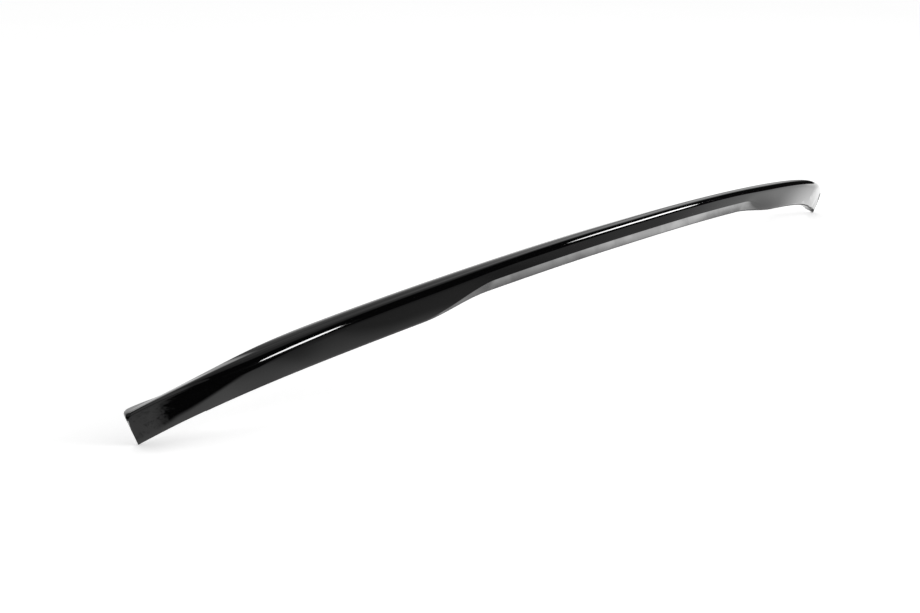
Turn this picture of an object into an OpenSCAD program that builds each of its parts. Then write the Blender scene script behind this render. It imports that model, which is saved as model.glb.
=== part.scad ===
// Boot-lid lip spoiler: one thin-walled moulding, arched in plan and in elevation,
// with two strips of adhesive foam tape on its underside.
// X runs across the car, +Y towards the car's nose, +Z up.
// The origin is the middle of the front tape's bonding face.

/* [Overall] */
// Width from tip to tip
width = 1200; // [1000:10:1500]
// Straight stretch in the middle, where the bonding face is flat
middle_flat = 60; // [20:5:120]
// How far the tips sit forward of the middle, as a plain parabola
plan_bow = 63.5; // [30:0.5:110]
// Extra forward wrap that only the tips have
tip_wrap = 13.8; // [0:0.1:25]
// How far the tips sit below the middle, as a plain parabola
crown = 45.4; // [20:0.1:80]
// Extra turn-down that only the tips have
tip_drop = 17.7; // [0:0.1:25]

/* [Section] */
// Wall thickness of the moulding
wall = 3; // [2:0.1:4]
// Depth of the top, from the ridge to the front edge
flange_depth = 32; // [26:0.5:46]
// How far the top climbs from its front edge to the ridge
flange_rise = 10; // [7:0.1:14]
// Exponent of the curve of the top: 1 is flat, 2 a parabola
flange_curve = 1.4; // [1.2:0.05:2]
// Thickness of the feathered front edge
edge_thickness = 1.2; // [0.8:0.1:2]
// Radius of the ridge in the middle
ridge_radius = 5.8; // [4:0.1:8]
// Radius of the gently rounded rear face
face_radius = 116; // [80:1:160]
// Radius inside the ridge
inner_radius = 2; // [1:0.1:4]

/* [Middle] */
// Height of the rear face in the middle, from the ridge to the crease
crease_height = 12.9; // [11:0.1:16]
// Crease position forward of the ridge
crease_set = -6.7; // [-7.5:0.1:-4]
// Height of the middle, from the ridge to the bottom edge
middle_height = 24; // [21:0.1:28]
// Bottom edge forward of the ridge, below the undercut strip
middle_reach = 2.1; // [0:0.1:5]

/* [Wings] */
// From the tip to the end of the undercut strip
wing_length = 274; // [200:1:320]
// Length over which the strip narrows to nothing
strip_run_out = 90; // [60:1:130]
// Height of the wing's face
wing_height = 27.6; // [25:0.1:32]
// Bottom edge of the wing's face forward of the ridge
wing_reach = -5; // [-7.5:0.1:0]
// Radius of the ridge in the wings
wing_ridge_radius = 7.2; // [4:0.1:9]
// Stretch of the middle over which the ridge changes to that radius
ridge_growth = 150; // [80:5:250]
// Height of the small lip along the wing's bottom edge
lip_height = 1.2; // [0.8:0.1:2]
// How far that lip tucks under
lip_set = 0.6; // [0.2:0.1:1]

/* [Tips] */
// From the tip to where the face starts to change
tip_change = 256; // [200:1:300]
// Height of the face at the tips
tip_height = 30.9; // [26:0.1:36]
// Bottom edge of the tips forward of the ridge
tip_reach = 5.7; // [2:0.1:9]
// Radius of the rear face at the tips
tip_face_radius = 310; // [150:5:450]
// Radius of the ridge at the tips
tip_radius = 2; // [1:0.1:2.5]
// From the tip to where the ridge starts to sharpen to that radius
sharpen_length = 106; // [60:1:200]
// Radius inside the ridge at the tips
tip_inner_radius = 0.3; // [0.2:0.1:1]
// From the tip to where the top starts to narrow
taper_length = 211; // [180:1:260]
// From the tip to where the top is down to its narrowest
plate_length = 32; // [20:1:60]
// How far the top still stands forward of the wall there
tip_ledge = 0.4; // [0.3:0.1:3]
// How much deeper the top flares out again at the very tips
tip_flare = 9.6; // [0:0.1:14]
// Stretch over which it flares out
flare_length = 24; // [15:1:30]
// How far the bottom corner of each end is cut inwards
end_rake = 9.4; // [4:0.1:20]
// Stretch over which the sections turn to follow that cut
rake_length = 150; // [100:5:200]
// How far the front corner of each end is cut inwards
end_sweep = 5.8; // [0:0.1:10]
// Stretch over which the sections turn to follow that cut
sweep_length = 60; // [40:1:90]
// Radius of the top corner of each end
end_round = 3; // [2:0.5:6]

/* [Underside] */
// Thickness of the base that turns in under the rear face
base_thickness = 2.5; // [1.5:0.1:3]
// Length over which the base runs out at each end
base_run_out = 10; // [6:0.5:20]
// Stretch at each end that has no base
base_gap = 3; // [1:0.5:6]
// Distance between stiffening ribs
rib_pitch = 88; // [60:1:120]
// Distance from the tip that ribs keep clear of
rib_margin = 190; // [150:5:260]
// Thickness of a rib
rib_thickness = 2; // [1.5:0.1:3]
// Draft on each flank of a rib
rib_draft = 0.4; // [0.2:0.1:0.8]
// How far down the rear face a rib reaches, from the ridge
rib_height = 12; // [9:0.5:16]
// Gap between a rib and the land behind the front edge
rib_gap = 8; // [4:0.5:12]

/* [Tape] */
// Thickness of the foam tape with its liner
tape_thickness = 1.2; // [0.8:0.1:2]
// Width of the front tape
front_tape_width = 7; // [5:0.5:9]
// Margin on each side of the front tape
front_tape_margin = 1; // [0.5:0.1:2]
// Distance from the tip at which the front tape ends
front_tape_gap = 130; // [110:5:250]
// Width of the rear tape
rear_tape_width = 6; // [4:0.5:8]
// Margin from the bottom edge of the rear face to the rear tape
rear_tape_margin = 1.6; // [1:0.1:2]
// Margin from the rear tape to the inner edge of the base
rear_tape_inset = 0.9; // [0.5:0.1:2]

/* [Hidden] */

half = width / 2;
half_flat = middle_flat / 2;
wing_start = half - wing_length;
strip_end = wing_start - strip_run_out;
tip_depth = wall - tip_radius + tip_inner_radius + tip_ledge;
land_width = front_tape_width + 2 * front_tape_margin;
land_step = 0.3;        // slope at the rear edge of the land
base_width = rear_tape_margin + rear_tape_width + rear_tape_inset;
inner_corner_gap = 1.5; // least height from the base to the inner corner above it
wrap_power = 8;         // keeps the wrap and the turn-down to the tips
tiny = 0.01;

// Points along the section
top_points = 6;         // from the front edge to the ridge
ridge_points = 6;       // round the ridge
face_points = 3;        // down the rear face
rib_points = 4;         // along the free edge of a rib

// Steps between sections along the spoiler
bay_steps = 8;          // between two ribs
wing_steps = 12;        // from the last rib to where the end starts to turn
end_steps = 11;         // from there to the corner
corner_steps = 5;       // round the corner

function blend(a, b, s) = a + (b - a) * s;
function ease(s) = let (c = min(1, max(0, s))) c * c * (3 - 2 * c);
function between(a, b, n) = [for (i = [1:n - 1]) blend(a, b, i / n)];
function mirrored(half_list) =
    concat([for (i = [len(half_list) - 1:-1:0]) -half_list[i]], half_list);

// Distance of the station x from the tip
function to_tip(x) = half - abs(x);
// Share of the way from the straight middle to the tip
function reach(x) = max(0, abs(x) - half_flat) / (half - half_flat);

// Ridge line: forward and up, measured from its middle
function ridge_y(x) = let (t = reach(x)) plan_bow * pow(t, 2) + tip_wrap * pow(t, wrap_power);
function ridge_z(x) = let (t = reach(x)) -crown * pow(t, 2) - tip_drop * pow(t, wrap_power);

// 1 in the middle with its undercut strip, 0 in the wings
function middle_share(x) = ease((wing_start - abs(x)) / strip_run_out);
// 0 up to the middle of the wings, 1 at the tips
function tip_share(x) = ease(1 - to_tip(x) / tip_change);
// 0 where the top is deep, 1 where it is down to a thin plate
function plate_share(x) = ease((taper_length - to_tip(x)) / (taper_length - plate_length));

function depth(x) =
    blend(flange_depth, tip_depth, plate_share(x)) + tip_flare * ease(1 - to_tip(x) / flare_length);
function ridge_r(x) =
    blend(blend(wing_ridge_radius, ridge_radius, ease((wing_start - abs(x)) / ridge_growth)),
          tip_radius, ease(1 - to_tip(x) / sharpen_length));
function face_r(x) = blend(face_radius, tip_face_radius, tip_share(x));
function face_h(x) = blend(wing_height, tip_height, tip_share(x));
function face_y(x) = blend(wing_reach, tip_reach, tip_share(x));

function crease(x) = [blend(face_y(x), crease_set, middle_share(x)),
                      -blend(face_h(x) - lip_height, crease_height, middle_share(x))];
function bottom(x) = [blend(face_y(x) + lip_set, middle_reach, middle_share(x)),
                      -blend(face_h(x), middle_height, middle_share(x))];

// Height of the top at a distance y forward of the ridge
function top_z(y) = -flange_rise * pow(max(0, y) / flange_depth, flange_curve);

// Centre of the face's arc, which is tangent to the ridge's arc and ends at the crease,
// and the direction from the ridge's centre to it
function face_centre(x) =
    let (c = crease(x), r = ridge_r(x), big = face_r(x), q = big - r, v = c + [0, r],
         l = norm(v), dir = atan2(v[1], v[0]) + acos((q * q + l * l - big * big) / (2 * q * l)))
    [q * cos(dir), -r + q * sin(dir), dir];

// Outer skin's distance forward of the ridge at a height z below it
function skin_y(x, z) =
    let (c = crease(x), b = bottom(x), f = face_centre(x), r = ridge_r(x), big = face_r(x))
    z < c[1] ? blend(c[0], b[0], (c[1] - z) / (c[1] - b[1]))
    : z > f[1] - big * sin(f[2]) ? -sqrt(max(0, r * r - pow(z + r, 2)))
    : f[0] - sqrt(big * big - pow(z - f[1], 2));

// Inner skin, one wall further forward, measured square to the strip below the crease
function inner_y(x, z) =
    let (c = crease(x), b = bottom(x), lean = middle_share(x) * (b[0] - c[0]) / (c[1] - b[1]),
         below = min(1, max(0, (c[1] - z) / wall)))
    skin_y(x, z) + wall * sqrt(1 + lean * lean * below);

// Width of the base: it runs out towards each end
function base_w(x) = blend(wall, base_width, ease((to_tip(x) - base_gap) / base_run_out));

// Outer side of the section, from the front edge over the ridge to the bottom edge
function outer_points(x) =
    let (d = depth(x), r = ridge_r(x), big = face_r(x), f = face_centre(x), c = crease(x),
         face_top = f[2] + 180, face_end = 180 - asin((c[1] - f[1]) / big))
    concat(
        [for (i = [0:top_points - 1]) let (y = d * (1 - i / top_points)) [y, top_z(y)]],
        [for (i = [0:ridge_points - 1])
            let (a = blend(90, face_top, i / (ridge_points - 1))) [r * cos(a), -r + r * sin(a)]],
        [for (i = [1:face_points])
            let (a = blend(face_top, face_end, i / face_points))
            [f[0] + big * cos(a), f[1] + big * sin(a)]],
        [bottom(x)]);

// Stiffening ribs join the rear face to the top
rib_places = [for (x = [rib_pitch / 2:rib_pitch:half - rib_margin]) x];
rib_edge = rib_thickness / 2;
rib_flank = rib_edge + rib_draft;
function on_rib(x) = len([for (p = rib_places) if (abs(abs(x) - p) < rib_edge + tiny) p]) > 0;

// Inner side of the section, from the base up to the ridge and forward to the land
function inner_points(x) =
    let (d = depth(x), b = bottom(x), c = crease(x),
         fillet = blend(inner_radius, tip_inner_radius, tip_share(x)),
         base_y = b[0] + base_w(x), base_top = b[1] + base_thickness,
         wall_z = max(c[1], base_top + inner_corner_gap),
         fillet_z = -(wall + fillet), fillet_y = inner_y(x, fillet_z), top_y = fillet_y + fillet,
         land_y = d - min(land_width, (d - top_y) / 2), land_z = top_z(d) - edge_thickness,
         under = function(y) top_z(y) - wall,
         toe_y = max(top_y, land_y - rib_gap), foot_z = max((wall_z + fillet_z) / 2, -rib_height),
         foot = [inner_y(x, foot_z), foot_z], toe = [toe_y, under(toe_y)])
    concat(
        [[base_y, b[1]],
         [base_y, base_top],
         [inner_y(x, base_top), base_top],
         [inner_y(x, wall_z), wall_z],
         foot],
        on_rib(x) ? between(foot, toe, rib_points)
                  : [for (i = [0:rib_points - 2])
                        let (a = 180 - 90 * i / (rib_points - 2))
                        [top_y + fillet * cos(a), fillet_z + fillet * sin(a)]],
        [toe,
         [land_y - land_step, under(land_y)],
         [land_y, land_z],
         [d, land_z]]);

// Rounds the top corner of an end: the section loses height there and keeps its bottom
function corner_loss(x) =
    let (s = max(0, 1 - to_tip(x) / end_round)) end_round * (1 - sqrt(max(0, 1 - s * s)));

// A point of the section at station x, placed in space
function place(x, p) =
    let (h = face_h(x), loss = corner_loss(x), z = -loss + p[1] * (h - loss) / h,
         rake = end_rake * ease(1 - to_tip(x) / rake_length) * p[1] / h,
         sweep = end_sweep * ease(1 - to_tip(x) / sweep_length) * max(0, p[0]) / depth(x),
         u = x + sign(x) * (rake - sweep))
    [u,
     ridge_y(u) + p[0] - (flange_depth - land_width / 2),
     ridge_z(u) + z + flange_rise + edge_thickness + tape_thickness];

// Closed tube through sections that all have the same number of points
module loft(sections) {
    n = len(sections[0]);
    last = len(sections) - 1;
    points = [for (s = sections) for (p = s) p];
    sides = [for (i = [0:last - 1]) for (j = [0:n - 1])
        let (a = i * n + j, b = i * n + (j + 1) % n)
        each [[a, b + n, b], [a, a + n, b + n]]];
    polyhedron(points,
        concat(sides, [[for (j = [0:n - 1]) j]], [[for (j = [n - 1:-1:0]) last * n + j]]));
}

// Stations: four on each rib, even steps between ribs and to the corner, close round it
corner_start = half - end_round;
sweep_start = half - sweep_length;
stations = mirrored(concat(
    between(0, rib_places[0] - rib_flank, bay_steps / 2),
    [for (i = [0:len(rib_places) - 1])
        let (p = rib_places[i], is_last = i == len(rib_places) - 1)
        each concat(
            [p - rib_flank, p - rib_edge, p + rib_edge, p + rib_flank],
            is_last ? concat(between(p + rib_flank, sweep_start, wing_steps), [sweep_start],
                             between(sweep_start, corner_start, end_steps))
                    : between(p + rib_flank, p + rib_pitch - rib_flank, bay_steps))],
    [for (i = [0:corner_steps]) corner_start + end_round * sin(90 * i / corner_steps)]));

module spoiler() {
    color("#101012")
    loft([for (x = stations) [for (p = concat(outer_points(x), inner_points(x))) place(x, p)]]);
}

// Rectangular strip whose upper face follows a line of the moulding's underside
module tape(end, corner, w) {
    stops = concat([-end], [for (x = stations) if (abs(x) < end - tiny) x], [end]);
    color("whitesmoke")
    loft([for (x = stops)
        let (p = corner(x))
        [for (q = [p, p - [w, 0], p - [w, tape_thickness], p - [0, tape_thickness]]) place(x, q)]]);
}

module front_tape() {
    tape(half - front_tape_gap,
         function(x) [depth(x) - front_tape_margin, top_z(depth(x)) - edge_thickness],
         front_tape_width);
}

module rear_tape() {
    tape(sweep_start,
         function(x) bottom(x) + [rear_tape_margin + rear_tape_width, 0],
         rear_tape_width);
}

spoiler();
front_tape();
rear_tape();
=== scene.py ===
"""Looks for the boot-lid lip spoiler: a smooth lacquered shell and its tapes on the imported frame.

The shell repeats the lofted section of the CAD part with more points, so that the gloss lacquer
reflects cleanly. Sizes of the part are in millimetres, as in the CAD part, and meshes are made in
metres. The studio is in metres.
"""

import math

import bpy
from mathutils import Matrix, Vector


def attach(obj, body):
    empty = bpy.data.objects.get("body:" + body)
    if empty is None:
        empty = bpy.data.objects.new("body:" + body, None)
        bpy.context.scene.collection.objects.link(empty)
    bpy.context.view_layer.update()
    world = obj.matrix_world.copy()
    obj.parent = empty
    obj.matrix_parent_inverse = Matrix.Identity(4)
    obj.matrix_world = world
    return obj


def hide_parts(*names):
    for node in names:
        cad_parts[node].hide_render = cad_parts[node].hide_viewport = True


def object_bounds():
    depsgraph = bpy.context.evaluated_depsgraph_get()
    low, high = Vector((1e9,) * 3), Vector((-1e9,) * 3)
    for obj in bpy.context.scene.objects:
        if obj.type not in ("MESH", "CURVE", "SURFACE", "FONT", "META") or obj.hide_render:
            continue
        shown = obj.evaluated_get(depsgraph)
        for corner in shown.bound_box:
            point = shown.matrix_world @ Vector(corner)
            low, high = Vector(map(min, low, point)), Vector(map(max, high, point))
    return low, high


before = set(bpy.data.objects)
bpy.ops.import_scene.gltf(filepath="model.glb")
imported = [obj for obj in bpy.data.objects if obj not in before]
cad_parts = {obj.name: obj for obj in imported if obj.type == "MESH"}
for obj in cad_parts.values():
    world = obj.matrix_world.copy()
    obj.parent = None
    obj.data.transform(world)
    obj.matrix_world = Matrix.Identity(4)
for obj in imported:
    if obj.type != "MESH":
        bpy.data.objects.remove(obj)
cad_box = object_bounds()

MM = 0.001

# ---------------------------------------------------------------- sizes of the moulding

WIDTH = 1200
MIDDLE_FLAT = 60
PLAN_BOW, TIP_WRAP = 63.5, 13.8
CROWN, TIP_DROP = 45.4, 17.7
WRAP_POWER = 8

WALL = 3
FLANGE_DEPTH, FLANGE_RISE, FLANGE_CURVE = 32, 10, 1.4
EDGE_THICKNESS = 1.2
RIDGE_RADIUS, FACE_RADIUS, INNER_RADIUS = 5.8, 116, 2

CREASE_HEIGHT, CREASE_SET = 12.9, -6.7
MIDDLE_HEIGHT, MIDDLE_REACH = 24, 2.1

WING_LENGTH, STRIP_RUN_OUT = 274, 90
WING_HEIGHT, WING_REACH = 27.6, -5
WING_RIDGE_RADIUS, RIDGE_GROWTH = 7.2, 150
LIP_HEIGHT, LIP_SET = 1.2, 0.6

TIP_CHANGE = 256
TIP_HEIGHT, TIP_REACH = 30.9, 5.7
TIP_FACE_RADIUS, TIP_RADIUS, TIP_INNER_RADIUS = 310, 2, 0.3
SHARPEN_LENGTH = 106
TAPER_LENGTH, PLATE_LENGTH = 211, 32
TIP_LEDGE, TIP_FLARE, FLARE_LENGTH = 0.4, 9.6, 24
END_RAKE, RAKE_LENGTH = 9.4, 150
END_SWEEP, SWEEP_LENGTH = 5.8, 60
END_ROUND = 3

BASE_THICKNESS, BASE_RUN_OUT, BASE_GAP = 2.5, 10, 3
RIB_PITCH, RIB_MARGIN, RIB_THICKNESS, RIB_DRAFT = 88, 190, 2, 0.4
RIB_HEIGHT, RIB_GAP = 12, 8

TAPE_THICKNESS = 1.2
FRONT_TAPE_WIDTH, FRONT_TAPE_MARGIN, FRONT_TAPE_GAP = 7, 1, 130
REAR_TAPE_WIDTH, REAR_TAPE_MARGIN, REAR_TAPE_INSET = 6, 1.6, 0.9
LINER = 0.15

HALF, HALF_FLAT = WIDTH / 2, MIDDLE_FLAT / 2
WING_START = HALF - WING_LENGTH
TIP_DEPTH = WALL - TIP_RADIUS + TIP_INNER_RADIUS + TIP_LEDGE
LAND_WIDTH = FRONT_TAPE_WIDTH + 2 * FRONT_TAPE_MARGIN
LAND_STEP = 0.3
BASE_WIDTH = REAR_TAPE_MARGIN + REAR_TAPE_WIDTH + REAR_TAPE_INSET
SWEEP_START = HALF - SWEEP_LENGTH
INNER_CORNER_GAP = 1.5

# small radii that moulding and lacquer leave on the sharp edges
EDGE_RADIUS = 0.3
CREASE_RADIUS = 0.8
BOTTOM_RADIUS = 0.5
CORNER_STEPS = 4
CORNER_SHARE = 0.45    # the most of a side that its corner may take
GUARD, GUARD_SHARE = 0.25, 0.7    # the extra point beside a corner, and its limit on short sides

# points along the section, and the greatest step between sections
TOP_POINTS, RIDGE_POINTS, FACE_POINTS, RIB_POINTS = 12, 16, 16, 8
STRIP_STEPS, UNDER_STEPS, WALL_STEPS = 4, 4, 4
SECTION_STEP = 3.0
END_STATIONS = 12    # sections round each end
SHARP_DEGREES = 32
RIB_TOLERANCE = 0.01

# ---------------------------------------------------------------- the section and its path


def blend(a, b, s):
    return a + (b - a) * s


def ease(s):
    c = min(1.0, max(0.0, s))
    return c * c * (3 - 2 * c)


def between(a, b, n):
    return [blend(a, b, i / n) for i in range(1, n)]


def lerp(p, q, s):
    return (blend(p[0], q[0], s), blend(p[1], q[1], s))


def to_tip(x):
    return HALF - abs(x)


def reach(x):
    return max(0.0, abs(x) - HALF_FLAT) / (HALF - HALF_FLAT)


def ridge_y(x):
    return PLAN_BOW * reach(x) ** 2 + TIP_WRAP * reach(x) ** WRAP_POWER


def ridge_z(x):
    return -CROWN * reach(x) ** 2 - TIP_DROP * reach(x) ** WRAP_POWER


def middle_share(x):
    return ease((WING_START - abs(x)) / STRIP_RUN_OUT)


def tip_share(x):
    return ease(1 - to_tip(x) / TIP_CHANGE)


def plate_share(x):
    return ease((TAPER_LENGTH - to_tip(x)) / (TAPER_LENGTH - PLATE_LENGTH))


def depth(x):
    flare = TIP_FLARE * ease(1 - to_tip(x) / FLARE_LENGTH)
    return blend(FLANGE_DEPTH, TIP_DEPTH, plate_share(x)) + flare


def ridge_r(x):
    untapered = blend(WING_RIDGE_RADIUS, RIDGE_RADIUS, ease((WING_START - abs(x)) / RIDGE_GROWTH))
    return blend(untapered, TIP_RADIUS, ease(1 - to_tip(x) / SHARPEN_LENGTH))


def face_r(x):
    return blend(FACE_RADIUS, TIP_FACE_RADIUS, tip_share(x))


def face_h(x):
    return blend(WING_HEIGHT, TIP_HEIGHT, tip_share(x))


def face_y(x):
    return blend(WING_REACH, TIP_REACH, tip_share(x))


def crease(x):
    m = middle_share(x)
    return (blend(face_y(x), CREASE_SET, m), -blend(face_h(x) - LIP_HEIGHT, CREASE_HEIGHT, m))


def bottom(x):
    m = middle_share(x)
    return (blend(face_y(x) + LIP_SET, MIDDLE_REACH, m), -blend(face_h(x), MIDDLE_HEIGHT, m))


def top_z(y):
    return -FLANGE_RISE * (max(0.0, y) / FLANGE_DEPTH) ** FLANGE_CURVE


def face_centre(x):
    """Centre of the face's arc, and the direction from the ridge's centre to it."""
    c, r, big = crease(x), ridge_r(x), face_r(x)
    q, v = big - r, (c[0], c[1] + r)
    far = math.hypot(*v)
    way = math.atan2(v[1], v[0]) + math.acos((q * q + far * far - big * big) / (2 * q * far))
    return q * math.cos(way), -r + q * math.sin(way), way


def skin_y(x, z):
    """Outer skin's distance forward of the ridge at a height z below it."""
    c, b, f, r, big = crease(x), bottom(x), face_centre(x), ridge_r(x), face_r(x)
    if z < c[1]:
        return blend(c[0], b[0], (c[1] - z) / (c[1] - b[1]))
    if z > f[1] - big * math.sin(f[2]):
        return -math.sqrt(max(0.0, r * r - (z + r) ** 2))
    return f[0] - math.sqrt(big * big - (z - f[1]) ** 2)


def inner_y(x, z):
    c, b = crease(x), bottom(x)
    lean = middle_share(x) * (b[0] - c[0]) / (c[1] - b[1])
    below = min(1.0, max(0.0, (c[1] - z) / WALL))
    return skin_y(x, z) + WALL * math.sqrt(1 + lean * lean * below)


def corner(before, at, after, radius):
    """Points round a corner, tangent to both sides, and one more on each to keep its shading flat."""
    at = Vector(at)
    a, b = Vector(before) - at, Vector(after) - at
    half_angle = a.angle(b) / 2
    back = min(radius / math.tan(half_angle), CORNER_SHARE * a.length, CORNER_SHARE * b.length)
    p, q = at + a.normalized() * back, at + b.normalized() * back
    made = [at + a.normalized() * min(back + GUARD, GUARD_SHARE * a.length)]
    for i in range(CORNER_STEPS + 1):
        s = i / CORNER_STEPS
        made.append((1 - s) ** 2 * p + 2 * s * (1 - s) * at + s * s * q)
    made.append(at + b.normalized() * min(back + GUARD, GUARD_SHARE * b.length))
    return [tuple(point) for point in made]


RIB_PLACES = []
place_of_rib = RIB_PITCH / 2
while place_of_rib <= HALF - RIB_MARGIN:
    RIB_PLACES.append(place_of_rib)
    place_of_rib += RIB_PITCH
RIB_EDGE = RIB_THICKNESS / 2
RIB_FLANK = RIB_EDGE + RIB_DRAFT


def on_rib(x):
    return any(abs(abs(x) - p) < RIB_EDGE + RIB_TOLERANCE for p in RIB_PLACES)


def outer_points(x):
    """Lacquered side, from the front edge over the ridge and down to the bottom edge."""
    d, r, big, f, c, b = depth(x), ridge_r(x), face_r(x), face_centre(x), crease(x), bottom(x)
    face_top, face_end = f[2] + math.pi, math.pi - math.asin((c[1] - f[1]) / big)
    top = [(d * (1 - i / TOP_POINTS), top_z(d * (1 - i / TOP_POINTS))) for i in range(TOP_POINTS)]
    ridge_turn = [blend(math.pi / 2, face_top, i / (RIDGE_POINTS - 1)) for i in range(RIDGE_POINTS)]
    ridge = [(r * math.cos(a), -r + r * math.sin(a)) for a in ridge_turn]
    face_turn = between(face_top, face_end, FACE_POINTS)
    face = [(f[0] + big * math.cos(a), f[1] + big * math.sin(a)) for a in face_turn]
    base = (b[0] + base_w(x), b[1])
    front = corner((d, top_z(d) - EDGE_THICKNESS), top[0], top[1], EDGE_RADIUS)
    rounded = corner(face[-1], c, b, CREASE_RADIUS)
    strip = [lerp(rounded[-1], b, s) for s in between(0, 1, STRIP_STEPS)]
    foot = corner(strip[-1], b, base, BOTTOM_RADIUS)
    return front + top[1:] + ridge + face + rounded + strip + foot


def base_w(x):
    return blend(WALL, BASE_WIDTH, ease((to_tip(x) - BASE_GAP) / BASE_RUN_OUT))


def inner_points(x):
    """Raw side, from the base up to the ridge and forward to the land."""
    d, b, c = depth(x), bottom(x), crease(x)
    fillet = blend(INNER_RADIUS, TIP_INNER_RADIUS, tip_share(x))
    base_y, base_top = b[0] + base_w(x), b[1] + BASE_THICKNESS
    wall_z = max(c[1], base_top + INNER_CORNER_GAP)
    fillet_z = -(WALL + fillet)
    top_y = inner_y(x, fillet_z) + fillet
    land_y, land_z = d - min(LAND_WIDTH, (d - top_y) / 2), top_z(d) - EDGE_THICKNESS
    toe_y = max(top_y, land_y - RIB_GAP)
    foot_z = max((wall_z + fillet_z) / 2, -RIB_HEIGHT)
    foot, toe = (inner_y(x, foot_z), foot_z), (toe_y, top_z(toe_y) - WALL)
    if on_rib(x):
        inside = [lerp(foot, toe, s) for s in between(0, 1, RIB_POINTS)]
    else:
        turn = [math.pi - math.pi / 2 * i / (RIB_POINTS - 2) for i in range(RIB_POINTS - 1)]
        inside = [(top_y + fillet * math.cos(a), fillet_z + fillet * math.sin(a)) for a in turn]
    under = [(y, top_z(y) - WALL) for y in between(toe_y, land_y - LAND_STEP, UNDER_STEPS)]
    low, high = (base_y, b[1]), (base_y, base_top)
    root = (inner_y(x, base_top), base_top)
    wall = [(inner_y(x, z), z) for z in between(wall_z, foot_z, WALL_STEPS)]
    edge = (d, land_z)
    return (corner(b, low, high, EDGE_RADIUS) + corner(low, high, root, EDGE_RADIUS)
            + [root, (inner_y(x, wall_z), wall_z)] + wall + [foot] + inside + [toe] + under
            + [(land_y - LAND_STEP, top_z(land_y - LAND_STEP) - WALL), (land_y, land_z)]
            + corner((land_y, land_z), edge, (d, top_z(d)), EDGE_RADIUS))


def corner_loss(x):
    s = max(0.0, 1 - to_tip(x) / END_ROUND)
    return END_ROUND * (1 - math.sqrt(max(0.0, 1 - s * s)))


def place(x, p):
    """A point of the section at station x, in metres in the row frame."""
    h, loss = face_h(x), corner_loss(x)
    z = -loss + p[1] * (h - loss) / h
    rake = END_RAKE * ease(1 - to_tip(x) / RAKE_LENGTH) * p[1] / h
    sweep = END_SWEEP * ease(1 - to_tip(x) / SWEEP_LENGTH) * max(0.0, p[0]) / depth(x)
    u = x + math.copysign(1, x) * (rake - sweep)
    return (MM * u,
            MM * (ridge_y(u) + p[0] - (FLANGE_DEPTH - LAND_WIDTH / 2)),
            MM * (ridge_z(u) + z + FLANGE_RISE + EDGE_THICKNESS + TAPE_THICKNESS))


# ---------------------------------------------------------------- meshes


def loft(name, rings, materials, kind_of=None):
    """Closed tube through rings of equally many points; kind_of(j) is side j's material index."""
    n = len(rings[0])
    faces = [(i * n + j, (i + 1) * n + j, (i + 1) * n + (j + 1) % n, i * n + (j + 1) % n)
             for i in range(len(rings) - 1) for j in range(n)]
    last = (len(rings) - 1) * n
    faces += [tuple(range(n)), tuple(last + j for j in range(n - 1, -1, -1))]
    mesh = bpy.data.meshes.new(name)
    mesh.from_pydata([p for ring in rings for p in ring], [], faces)
    for material in materials:
        mesh.materials.append(material)
    if kind_of:
        kinds = [kind_of(f % n) for f in range(len(faces) - 2)] + [0, 0]    # the last two close the ends
        mesh.polygons.foreach_set("material_index", kinds)
    mesh.polygons.foreach_set("use_smooth", [True] * len(faces))
    mesh.set_sharp_from_angle(angle=math.radians(SHARP_DEGREES))
    mesh.validate()
    mesh.update()
    piece = bpy.data.objects.new(name, mesh)
    bpy.context.collection.objects.link(piece)
    return piece


def mirrored(half_list):
    return [-x for x in reversed(half_list)] + half_list


def shell_stations():
    stops = [0.0]
    for p in RIB_PLACES:
        stops += [p - RIB_FLANK, p - RIB_EDGE, p + RIB_EDGE, p + RIB_FLANK]
    stops.append(HALF - END_ROUND)
    made = []
    for a, b in zip(stops, stops[1:]):
        made += between(a, b, max(1, math.ceil((b - a) / SECTION_STEP))) + [b]
    turn = [math.pi / 2 * i / END_STATIONS for i in range(1, END_STATIONS + 1)]
    made += [HALF - END_ROUND + END_ROUND * math.sin(a) for a in turn]
    return mirrored(made)


def shell(lacquer, raw):
    rings = [[place(x, p) for p in outer_points(x) + inner_points(x)] for x in shell_stations()]
    outside = len(outer_points(0))
    return loft("spoiler_shell", rings, [lacquer, raw], lambda j: 0 if j < outside else 1)


def tape_stations(end):
    steps = math.ceil((end - HALF_FLAT) / SECTION_STEP)
    return mirrored([HALF_FLAT] + between(HALF_FLAT, end, steps) + [end])


def strip(name, end, line, width, low, high, material):
    """Rectangular strip hung below a line of the moulding's underside, low to high below it."""
    rings = []
    for x in tape_stations(end):
        y, z = line(x)
        corners = ((y, z - low), (y - width, z - low), (y - width, z - high), (y, z - high))
        rings.append([place(x, q) for q in corners])
    return loft(name, rings, [material])


def front_line(x):
    return (depth(x) - FRONT_TAPE_MARGIN, top_z(depth(x)) - EDGE_THICKNESS)


def rear_line(x):
    b = bottom(x)
    return (b[0] + REAR_TAPE_MARGIN + REAR_TAPE_WIDTH, b[1])


# ---------------------------------------------------------------- materials


def grey(level, blue=0.0):
    """Opaque grey, with its blue a little higher or lower."""
    return (level, level, level + blue, 1)


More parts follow.
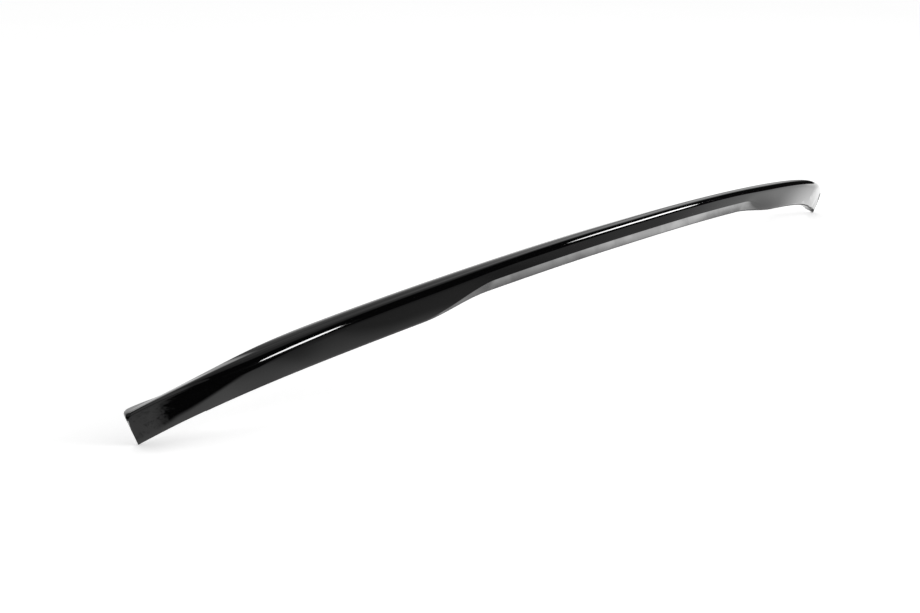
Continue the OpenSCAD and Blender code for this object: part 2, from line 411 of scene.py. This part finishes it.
class Nodes:
    """Short names for the nodes of one material or world."""

    def __init__(self, owner):
        owner.use_nodes = True
        self.owner = owner
        self.tree = owner.node_tree
        self.tree.nodes.clear()

    def add(self, kind, inputs=None, **settings):
        node = self.tree.nodes.new(kind)
        for key, value in settings.items():
            setattr(node, key, value)
        for key, value in (inputs or {}).items():
            self.put(value, node.inputs[key])
        return node

    def put(self, value, socket):
        if isinstance(value, bpy.types.NodeSocket):
            self.tree.links.new(value, socket)
        else:
            socket.default_value = value

    def math(self, operation, a, b=0.0, c=0.0):
        return self.add("ShaderNodeMath", {0: a, 1: b, 2: c}, operation=operation).outputs[0]

    def ramp(self, value, start, end, low=0.0, high=1.0):
        """Smooth step of value from start to end, given out as low to high."""
        node = self.add("ShaderNodeMapRange",
                        {"Value": value, "From Min": start, "From Max": end,
                         "To Min": low, "To Max": high},
                        interpolation_type="SMOOTHSTEP")
        return node.outputs["Result"]

    def fold(self, operation, first, *rest):
        """One operation over any number of values."""
        return self.math(operation, first, self.fold(operation, *rest)) if rest else first

    def total(self, *values):
        return self.fold("ADD", *values)

    def greatest(self, *values):
        return self.fold("MAXIMUM", *values)

    def product(self, *values):
        return self.fold("MULTIPLY", *values)

    def minus(self, a, b):
        return self.math("SUBTRACT", a, b)

    def mix(self, share, a, b):
        return self.add("ShaderNodeMix", {0: share, 2: a, 3: b}).outputs[0]

    def mix_colour(self, share, a, b):
        return self.add("ShaderNodeMix", {0: share, 6: a, 7: b}, data_type="RGBA").outputs[2]

    def noise(self, scale, detail=2.0, roughness=0.5, stretch=(1, 1, 1), spot=None, distortion=0.0):
        """Pattern in the object's own coordinates, or at a spot that is given."""
        spot = spot or self.add("ShaderNodeTexCoord").outputs["Object"]
        if stretch != (1, 1, 1):
            spot = self.add("ShaderNodeMapping", {"Vector": spot, "Scale": stretch}).outputs[0]
        node = self.add("ShaderNodeTexNoise", {"Vector": spot, "Scale": scale, "Detail": detail,
                                               "Roughness": roughness, "Distortion": distortion})
        return node.outputs["Fac"]

    def bump(self, height, distance, strength, normal=None):
        node = self.add("ShaderNodeBump",
                        {"Height": height, "Distance": distance, "Strength": strength})
        if normal:
            self.put(normal, node.inputs["Normal"])
        return node.outputs[0]

    def position(self):
        """The shaded spot, and its x, y and z."""
        spot = self.add("ShaderNodeNewGeometry").outputs["Position"]
        return [spot, *self.add("ShaderNodeSeparateXYZ", {0: spot}).outputs]

    def surface(self, shader):
        self.add("ShaderNodeOutputMaterial", {"Surface": shader})
        return self.owner

    def principled(self, colour, roughness, normal, **constants):
        """The finished material; the constants are set on the shader's own sockets."""
        inputs = {"Base Color": colour, "Roughness": roughness, "Normal": normal, **constants}
        return self.surface(self.add("ShaderNodeBsdfPrincipled", inputs).outputs[0])


def new_material(name):
    return Nodes(bpy.data.materials.new(name))


PLASTIC_IOR = 1.5

# patterns: features per metre, and bumps in metres with their strength
DUST, HAZE, PEEL, FLOW = 1400, 9, 420, 38
PEEL_BUMP, FLOW_BUMP = (0.00001, 0.6), (0.00012, 0.5)
DUST_RAMP, HAZE_RAMP = (0.76, 0.80), (0.35, 0.75)
LACQUER_BLACK, DUST_COLOUR, DUST_COVER, DUST_ROUGHNESS = grey(0.001, 0.0001), grey(0.09), 0.35, 0.2
LACQUER_ROUGHNESS = (0.03, 0.06)

GRAIN, RAW_CLOUD, GRAIN_BUMP = 2600, 30, (0.00006, 0.5)
RAW_COLOURS, RAW_ROUGHNESS = (grey(0.014, 0.001), grey(0.026, 0.002)), (0.42, 0.62)

CELLS, CELL_BUMP = 5200, (0.0001, 0.8)
FOAM_COLOURS, FOAM_ROUGHNESS = (grey(0.02, 0.002), grey(0.07, 0.003)), (0.8, 0.95)

FIBRE, LINER_CLOUD, FIBRE_BUMP = 900, 60, (0.00002, 0.5)
LINER_COLOURS, LINER_ROUGHNESS = (grey(0.9, -0.01), grey(0.8, -0.02)), (0.35, 0.5)


def lacquer_material():
    """Gloss black lacquer: faint orange peel, slight haze from handling, and sparse dust."""
    n = new_material("gloss_black_lacquer")
    dust = n.ramp(n.noise(DUST, detail=1), *DUST_RAMP)
    haze = n.ramp(n.noise(HAZE, detail=4, roughness=0.6), *HAZE_RAMP)
    colour = n.mix_colour(n.product(dust, DUST_COVER), LACQUER_BLACK, DUST_COLOUR)
    roughness = n.total(n.mix(haze, *LACQUER_ROUGHNESS), n.product(dust, DUST_ROUGHNESS))
    peel = n.bump(n.noise(PEEL, detail=1), *PEEL_BUMP)
    flow = n.bump(n.noise(FLOW, stretch=(0.5, 1, 1)), *FLOW_BUMP, peel)
    return n.principled(colour, roughness, flow, IOR=PLASTIC_IOR)


def raw_material():
    """Unpainted inner side of the moulding: fine spark-eroded texture with a satin sheen."""
    n = new_material("raw_black_plastic")
    grain = n.noise(GRAIN, roughness=0.6)
    colour = n.mix_colour(n.noise(RAW_CLOUD, detail=3), *RAW_COLOURS)
    return n.principled(colour, n.mix(grain, *RAW_ROUGHNESS), n.bump(grain, *GRAIN_BUMP),
                        IOR=PLASTIC_IOR)


def foam_material():
    """Closed-cell acrylic foam, dark grey."""
    n = new_material("acrylic_foam")
    cells = n.noise(CELLS, detail=3, roughness=0.7)
    colour = n.mix_colour(cells, *FOAM_COLOURS)
    return n.principled(colour, n.mix(cells, *FOAM_ROUGHNESS), n.bump(cells, *CELL_BUMP))


def liner_material():
    """White release liner with a faint paper cloud and a waxy sheen."""
    n = new_material("white_liner")
    fibre = n.noise(FIBRE, detail=4, roughness=0.65, stretch=(0.25, 1, 1))
    colour = n.mix_colour(n.product(n.noise(LINER_CLOUD), fibre), *LINER_COLOURS)
    return n.principled(colour, n.mix(fibre, *LINER_ROUGHNESS), n.bump(fibre, *FIBRE_BUMP))


# ---------------------------------------------------------------- the object

body = shell(lacquer_material(), raw_material())
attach(body, "root")
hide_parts("spoiler")

foam, liner = foam_material(), liner_material()
foam_depth = TAPE_THICKNESS - LINER
for node, end, line, width in (("front_tape", HALF - FRONT_TAPE_GAP, front_line, FRONT_TAPE_WIDTH),
                               ("rear_tape", SWEEP_START, rear_line, REAR_TAPE_WIDTH)):
    core = strip(node + "_foam", end, line, width, 0, foam_depth, foam)
    cover = strip(node + "_liner", end, line, width, foam_depth, TAPE_THICKNESS, liner)
    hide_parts(node)
    for piece in (core, cover):
        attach(piece, "root")

# ---------------------------------------------------------------- studio: the mirrored table, painted as light and shade in the floor's glow

# Every ramp is (from, to) or (from, to, low, high): a smooth step in x, in y, in the distance
# "ahead" of the part's foot, or in an angle. A brightness of 1 is white.

# plan curve of the rear face's foot: y = FOOT_Y + FOOT_BOW x^2
FOOT_Y, FOOT_BOW = -0.031, 0.208

# even light, close to the part along x, and farther out by direction: how far aside for each metre of x
NEAR_LEVEL = ((-0.50, -0.44, 0.32, 0.25), (-0.05, 0.25, 0, 0.31), (0.45, 0.65, 0, 0.30))
FAR_LEVEL = ((1.5, 0.6, 0.19, 0.31), (0.6, 0.24, 0, 0.44), (0.14, 0.03, 0, 0.22))
NEAR_TO_FAR = (0.12, 0.32)
LEAST_X = 0.02
RIGHT_STRIP_Y, RIGHT_STRIP_X = (-0.06, 0.02, 0, 0.40), (0.38, 0.52)

# glow ahead of the left wing, and past its tip
GLOW_DEPTH, GLOW_FADE = (-0.43, -0.35, 0.045, 0.10), (1.0, 0.3)
GLOW_RISE, GLOW_FALL, GLOW_STOP = (-0.47, -0.42, 0.35, 0.70), (-0.42, -0.37, 0, 0.17), (-0.16, -0.24)
GLOW_TIP = (-0.515, -0.48, 0.2, 0)

# painted light: a bright line along the foot, which the undercut strip mirrors; its crest runs beside
# the foot
CREST, CREST_FADE, CREST_EDGE = (0.15, 0.36, -0.0105, 0.003), (-0.005, 0.004, 0.5, 1), (0.024, 0.012)
STRIP_LEVEL = ((-0.27, -0.22, 0.35, 1.25), (-0.06, 0.12, 0, 0.4), (0.14, 0.36, 0, -0.35))
WING_FOOT, WING_FOOT_END = (-0.43, -0.33, 1, 0), (-0.48, -0.44, 0.6, 1)
UNDER_FADE = (-0.055, -0.02, 0.7, 1)
CLOUD, CLOUD_LEVEL = 45, (0.3, 0.7, 0.85, 1.15)

# painted shade in the mirrored table: darker far behind the part, and under the right tip between two
# places along x
DARKER_BEHIND = (0.45, 0.8, 1, 0.2)
TIP_SHADE, TIP_SHADE_END = (-0.0065, -0.003, 0.1, 1), (-0.008, -0.02, 0, 0.6)
TIP_SHADE_LEFT, TIP_SHADE_RIGHT = (0.56, 0.50), (0.598, 0.604)

# near corner of the table, the slopes of its two edges in plan, and the painted reflection of what lies
# past them: a dark room with a mottled bright patch
TABLE_CORNER, TABLE_SLOPES = (-0.465, -0.022), (-0.555, -1.55)
EDGE_SOFTNESS, EDGE_END = (-0.003, 0.003), (-0.28, -0.38)
WISP, WISP_SHIFT, WISP_DISTORTION = 110, 0.04, 1.5
SHELF_EDGE, SHELF_LEVEL = (-0.535, -0.552), (0.36, 0.54, 0.4, 0.75)
ROOM_DARK = 0.012


def even_light(n, x, y, ahead):
    """Even light of the table, with one brighter strip at its right."""
    aside = n.math("DIVIDE", n.product(y, -1.0), n.greatest(x, LEAST_X))
    near = n.total(*[n.ramp(x, *r) for r in NEAR_LEVEL])
    far = n.total(*[n.ramp(aside, *r) for r in FAR_LEVEL])
    right_strip = n.product(n.ramp(y, *RIGHT_STRIP_Y), n.ramp(x, *RIGHT_STRIP_X))
    return n.total(n.mix(n.ramp(ahead, *NEAR_TO_FAR), near, far), right_strip)


def wing_glow(n, x, ahead):
    """Glow ahead of the left wing, and a fainter one past its tip."""
    depth_share = n.math("DIVIDE", ahead, n.ramp(x, *GLOW_DEPTH))
    level = n.minus(n.ramp(x, *GLOW_RISE), n.ramp(x, *GLOW_FALL))
    return n.total(n.ramp(x, *GLOW_TIP),
                   n.product(n.ramp(depth_share, *GLOW_FADE), level, n.ramp(x, *GLOW_STOP)))


def foot_line(n, spot, x, ahead):
    """Painted bright, slightly cloudy line along the part's foot."""
    crest = n.minus(ahead, n.ramp(x, *CREST))
    strip_level = n.total(*[n.ramp(x, *r) for r in STRIP_LEVEL])
    level = n.total(n.product(strip_level, n.ramp(crest, *CREST_FADE)), n.ramp(x, *WING_FOOT))
    cloud = n.noise(CLOUD, detail=3, roughness=0.55, spot=spot)
    return n.product(level, n.ramp(crest, *CREST_EDGE), n.ramp(ahead, *UNDER_FADE),
                     n.ramp(x, *WING_FOOT_END), n.ramp(cloud, *CLOUD_LEVEL))


def past_table(n, spot, x, y):
    """Share of a spot that lies past the table's edges, and the painted brightness there."""
    past_corner = n.minus(x, TABLE_CORNER[0])
    edges = [n.math("MULTIPLY_ADD", past_corner, slope, TABLE_CORNER[1]) for slope in TABLE_SLOPES]
    past_edge = n.minus(n.math("MINIMUM", *edges), y)
    wisp = n.noise(WISP, detail=5, roughness=0.6, spot=spot, distortion=WISP_DISTORTION)
    shelf = n.product(n.ramp(n.math("MULTIPLY_ADD", wisp, WISP_SHIFT, x), *SHELF_EDGE),
                      n.ramp(wisp, *SHELF_LEVEL))
    return (n.product(n.ramp(past_edge, *EDGE_SOFTNESS), n.ramp(x, *EDGE_END)),
            n.greatest(shelf, ROOM_DARK))


def table_light(n):
    """Brightness of the table top as the lacquer mirrors it, painted into the floor's glow: strips of
    light that fade to its edges.
    """
    spot, x, y, _ = n.position()
    ahead = n.minus(n.total(n.product(x, x, FOOT_BOW), FOOT_Y), y)
    table = n.greatest(n.total(even_light(n, x, y, ahead), wing_glow(n, x, ahead)),
                       foot_line(n, spot, x, ahead))
    # Painted shade: the mirrored table is darker right at the foot under the right tip, and far behind
    # the part.
    beside_tip = n.total(n.ramp(x, *TIP_SHADE_LEFT), n.ramp(x, *TIP_SHADE_RIGHT))
    open_tip = n.greatest(n.ramp(ahead, *TIP_SHADE), beside_tip, n.ramp(ahead, *TIP_SHADE_END))
    past_share, past_light = past_table(n, spot, x, y)
    return n.mix(past_share, n.product(table, n.ramp(y, *DARKER_BEHIND), open_tip), past_light)


# ---------------------------------------------------------------- studio: the floor

FLOOR_RADIUS, FLOOR_SIDES = 14, 96
PALE, PALE_PATTERN = (grey(0.88), grey(0.90)), 3
# painted shade: the dark grey that the floor turns near the part
PAINTED_SHADE = grey(0.30)
PAINTED_SHADE_SIDE = (0.908, 0.243, 0.342)    # painted shade: the floor is darkened where the part lies towards this side of it, as if the light came from there
SHADE_REACH, SHADE_SAMPLES = 0.06, 16    # how near the part has to be to paint shade on the floor
SHADE_RAMP, SHADE_FAINT = (0.35, 0.78), (0.35, 0.1, 0, 0.85)    # ramp of the painted shade, which grows fainter towards the left
WHITE_FILL = 0.46


def floor_material():
    """Pale floor, lit plainly; the camera sees it with a white glow and a painted shade near the part,
    and the lacquer mirrors it as a table top in a studio whose light and shade are painted into a glow.
    """
    n = new_material("floor_white")
    pale = n.mix_colour(n.noise(PALE_PATTERN), *PALE)
    plain = n.add("ShaderNodeBsdfDiffuse", {"Color": pale})

    # Painted shade, for camera rays only: near the part, by ambient occlusion leaned to one side, the
    # floor's colour turns dark grey and its white glow drops.
    painted_shade_side = n.add("ShaderNodeCombineXYZ", dict(enumerate(PAINTED_SHADE_SIDE))).outputs[0]
    openness = n.add("ShaderNodeAmbientOcclusion", {"Distance": SHADE_REACH, "Normal": painted_shade_side},
                     samples=SHADE_SAMPLES).outputs["AO"]
    _, x, _, _ = n.position()
    open_share = n.greatest(n.ramp(openness, *SHADE_RAMP), n.ramp(x, *SHADE_FAINT))
    shaded = n.add("ShaderNodeBsdfDiffuse", {"Color": n.mix_colour(open_share, PAINTED_SHADE, pale)})
    fill = n.add("ShaderNodeEmission", {"Strength": n.product(open_share, WHITE_FILL)})
    seen = n.add("ShaderNodeAddShader", {0: shaded.outputs[0], 1: fill.outputs[0]})

    # Painted reflection: to glossy rays the floor glows with the table's painted light and shade instead
    # of showing its plain colour.
    painted_table_glow = n.add("ShaderNodeEmission", {"Strength": table_light(n)})
    path = n.add("ShaderNodeLightPath").outputs
    shown = n.add("ShaderNodeMixShader",
                  {0: path["Is Camera Ray"], 1: plain.outputs[0], 2: seen.outputs[0]})
    mixed = n.add("ShaderNodeMixShader",
                  {0: path["Is Glossy Ray"], 1: shown.outputs[0], 2: painted_table_glow.outputs[0]})
    return n.surface(mixed.outputs[0])


# ---------------------------------------------------------------- studio: the room

AMBIENT = 0.58       # the even light on everything
ROOM_LEVEL = 0.8     # times the brightnesses below, for what the lacquer mirrors

# Areas in degrees: azimuth from +Y, positive towards +X, and elevation.
CEILING_FOOT, CEILING_FADE = ((72, 96, 26, 47), (96, 118, 0, 12), (140, 170, 0, 5)), (-9, 7, 0, 0.43)
WALL_SIDES, WALL_LEVEL = ((57, 63), (86, 77)), (55, 15, 0.62, 1.15)
WALL_FOOT, WALL_FOOT_FADE = (70, 84, 0, 12), (-1, 8)
RECESS_SIDES, RECESS_TOP = ((36, 40), (66, 60)), (82, 72)
RECESS_RIGHT, RECESS_UPPER = (49, 57, 0.15, 0.36), (18, 40, 0.15, 0.33)
WINDOW_SIDES, WINDOW_FOOT, WINDOW_LEVEL = ((8, 22), (42.5, 39.4)), (-4, 2), (8, 24, 1.4, 1.8)
PANE_LEFT, PANE_LEFT_FADE, PANE_RIGHT = (33, 43, 30, 18), (-3, 2), (39, 35)
PANE_HEIGHTS, PANE_LEVEL = ((18, 28), (86, 70)), 3.2
FRONT_SIDES, FRONT_FOOT, FRONT_LEVEL = ((-178, -173), (-140, -155)), (8, 18), 0.95
ZENITH_SIDES, ZENITH_FOOT, ZENITH_LEVEL = ((75, 50), (-20, 10)), (64, 84), 2.3


def studio_world():
    """White to the camera and an even soft light on everything. The lacquer mirrors a room around
    the table: dark in front, a dim ceiling, a grey wall right, bright windows behind on the left."""
    world = bpy.data.worlds.new("studio")
    bpy.context.scene.world = world
    n = Nodes(world)
    way = n.add("ShaderNodeTexCoord").outputs["Generated"]
    x, y, z = n.add("ShaderNodeSeparateXYZ", {0: way}).outputs
    up = n.product(n.math("ARCSINE", z), 180 / math.pi)
    around = n.product(n.math("ARCTAN2", x, y), 180 / math.pi)

    def between_sides(sides):
        return n.product(*[n.ramp(around, *side) for side in sides])

    ceiling_foot = n.total(*[n.ramp(around, *r) for r in CEILING_FOOT])
    ceiling = n.ramp(n.minus(up, ceiling_foot), *CEILING_FADE)
    over_wall_foot = n.minus(up, n.ramp(around, *WALL_FOOT))
    wall = n.product(between_sides(WALL_SIDES), n.ramp(over_wall_foot, *WALL_FOOT_FADE),
                     n.ramp(up, *WALL_LEVEL))
    recess = n.product(between_sides(RECESS_SIDES), n.ramp(up, *RECESS_TOP),
                       n.greatest(n.ramp(around, *RECESS_RIGHT), n.ramp(up, *RECESS_UPPER)))
    window = n.product(between_sides(WINDOW_SIDES), n.ramp(up, *WINDOW_FOOT), n.ramp(up, *WINDOW_LEVEL))
    past_pane_left = n.minus(around, n.ramp(up, *PANE_LEFT))
    pane = n.product(n.ramp(past_pane_left, *PANE_LEFT_FADE), n.ramp(around, *PANE_RIGHT),
                     *[n.ramp(up, *height) for height in PANE_HEIGHTS], PANE_LEVEL)
    front = n.product(between_sides(FRONT_SIDES), n.ramp(up, *FRONT_FOOT), FRONT_LEVEL)
    zenith = n.product(between_sides(ZENITH_SIDES), n.ramp(up, *ZENITH_FOOT), ZENITH_LEVEL)
    room = n.greatest(ceiling, wall, recess, n.total(window, pane), front, zenith, ROOM_DARK)

    path = n.add("ShaderNodeLightPath").outputs
    lighting = n.mix(path["Is Glossy Ray"], AMBIENT, n.product(room, ROOM_LEVEL))
    strength = n.mix(path["Is Camera Ray"], lighting, 1.0)
    shader = n.add("ShaderNodeBackground", {"Color": grey(1), "Strength": strength})
    n.add("ShaderNodeOutputWorld", {"Surface": shader.outputs[0]})


# name, azimuth, elevation, distance, size, brightness of its face, turn
SOFT_BOXES = (("soft_box_tall", 166.6, 16, 3.0, (0.45, 1.4), 24, -27),
              ("soft_box_round", 116.0, 19.6, 3.0, (0.88, 0.56), 15, -28))


def soft_box(name, azimuth, elevation, distance, size, brightness, turn):
    """Elliptical soft box in a direction from the part, facing it."""
    data = bpy.data.lights.new(name, "AREA")
    data.shape = "ELLIPSE"
    data.size, data.size_y = size
    data.energy = brightness * math.pi * math.pi * size[0] * size[1] / 4
    thing = bpy.data.objects.new(name, data)
    a, e = math.radians(azimuth), math.radians(elevation)
    way = Vector((math.sin(a) * math.cos(e), math.cos(a) * math.cos(e), math.sin(e)))
    thing.location = way * distance
    facing = (-way).to_track_quat("-Z", "Y").to_matrix()
    thing.rotation_euler = (facing @ Matrix.Rotation(math.radians(turn), 3, "Z")).to_euler()
    thing.visible_camera = False
    bpy.context.collection.objects.link(thing)


bpy.ops.mesh.primitive_circle_add(vertices=FLOOR_SIDES, radius=FLOOR_RADIUS, fill_type="NGON",
                                  location=(0, 0, cad_box[0].z))
floor = bpy.context.object
floor.name = "floor"
floor.data.materials.append(floor_material())

studio_world()
for box in SOFT_BOXES:
    soft_box(*box)

# ---------------------------------------------------------------- camera, as the photograph has it

CAMERA_PLACE = (-1.46502, -0.84842, 0.31395)
HEADING, TILT = 54.98, 13.11    # degrees: from +Y towards +X, and down
FOCAL_PIXELS, PHOTO_WIDTH = 1783.1, 920
SENSOR_WIDTH, VIEW_END = 36, 60

camera_data = bpy.data.cameras.new("camera")
camera_data.sensor_width = SENSOR_WIDTH
camera_data.lens = FOCAL_PIXELS * SENSOR_WIDTH / PHOTO_WIDTH
camera_data.clip_end = VIEW_END
camera = bpy.data.objects.new("camera", camera_data)
camera.location = CAMERA_PLACE
camera.rotation_euler = (math.radians(90 - TILT), 0, math.radians(-HEADING))
bpy.context.collection.objects.link(camera)
bpy.context.scene.camera = camera

bpy.context.scene.view_settings.view_transform = "Standard"
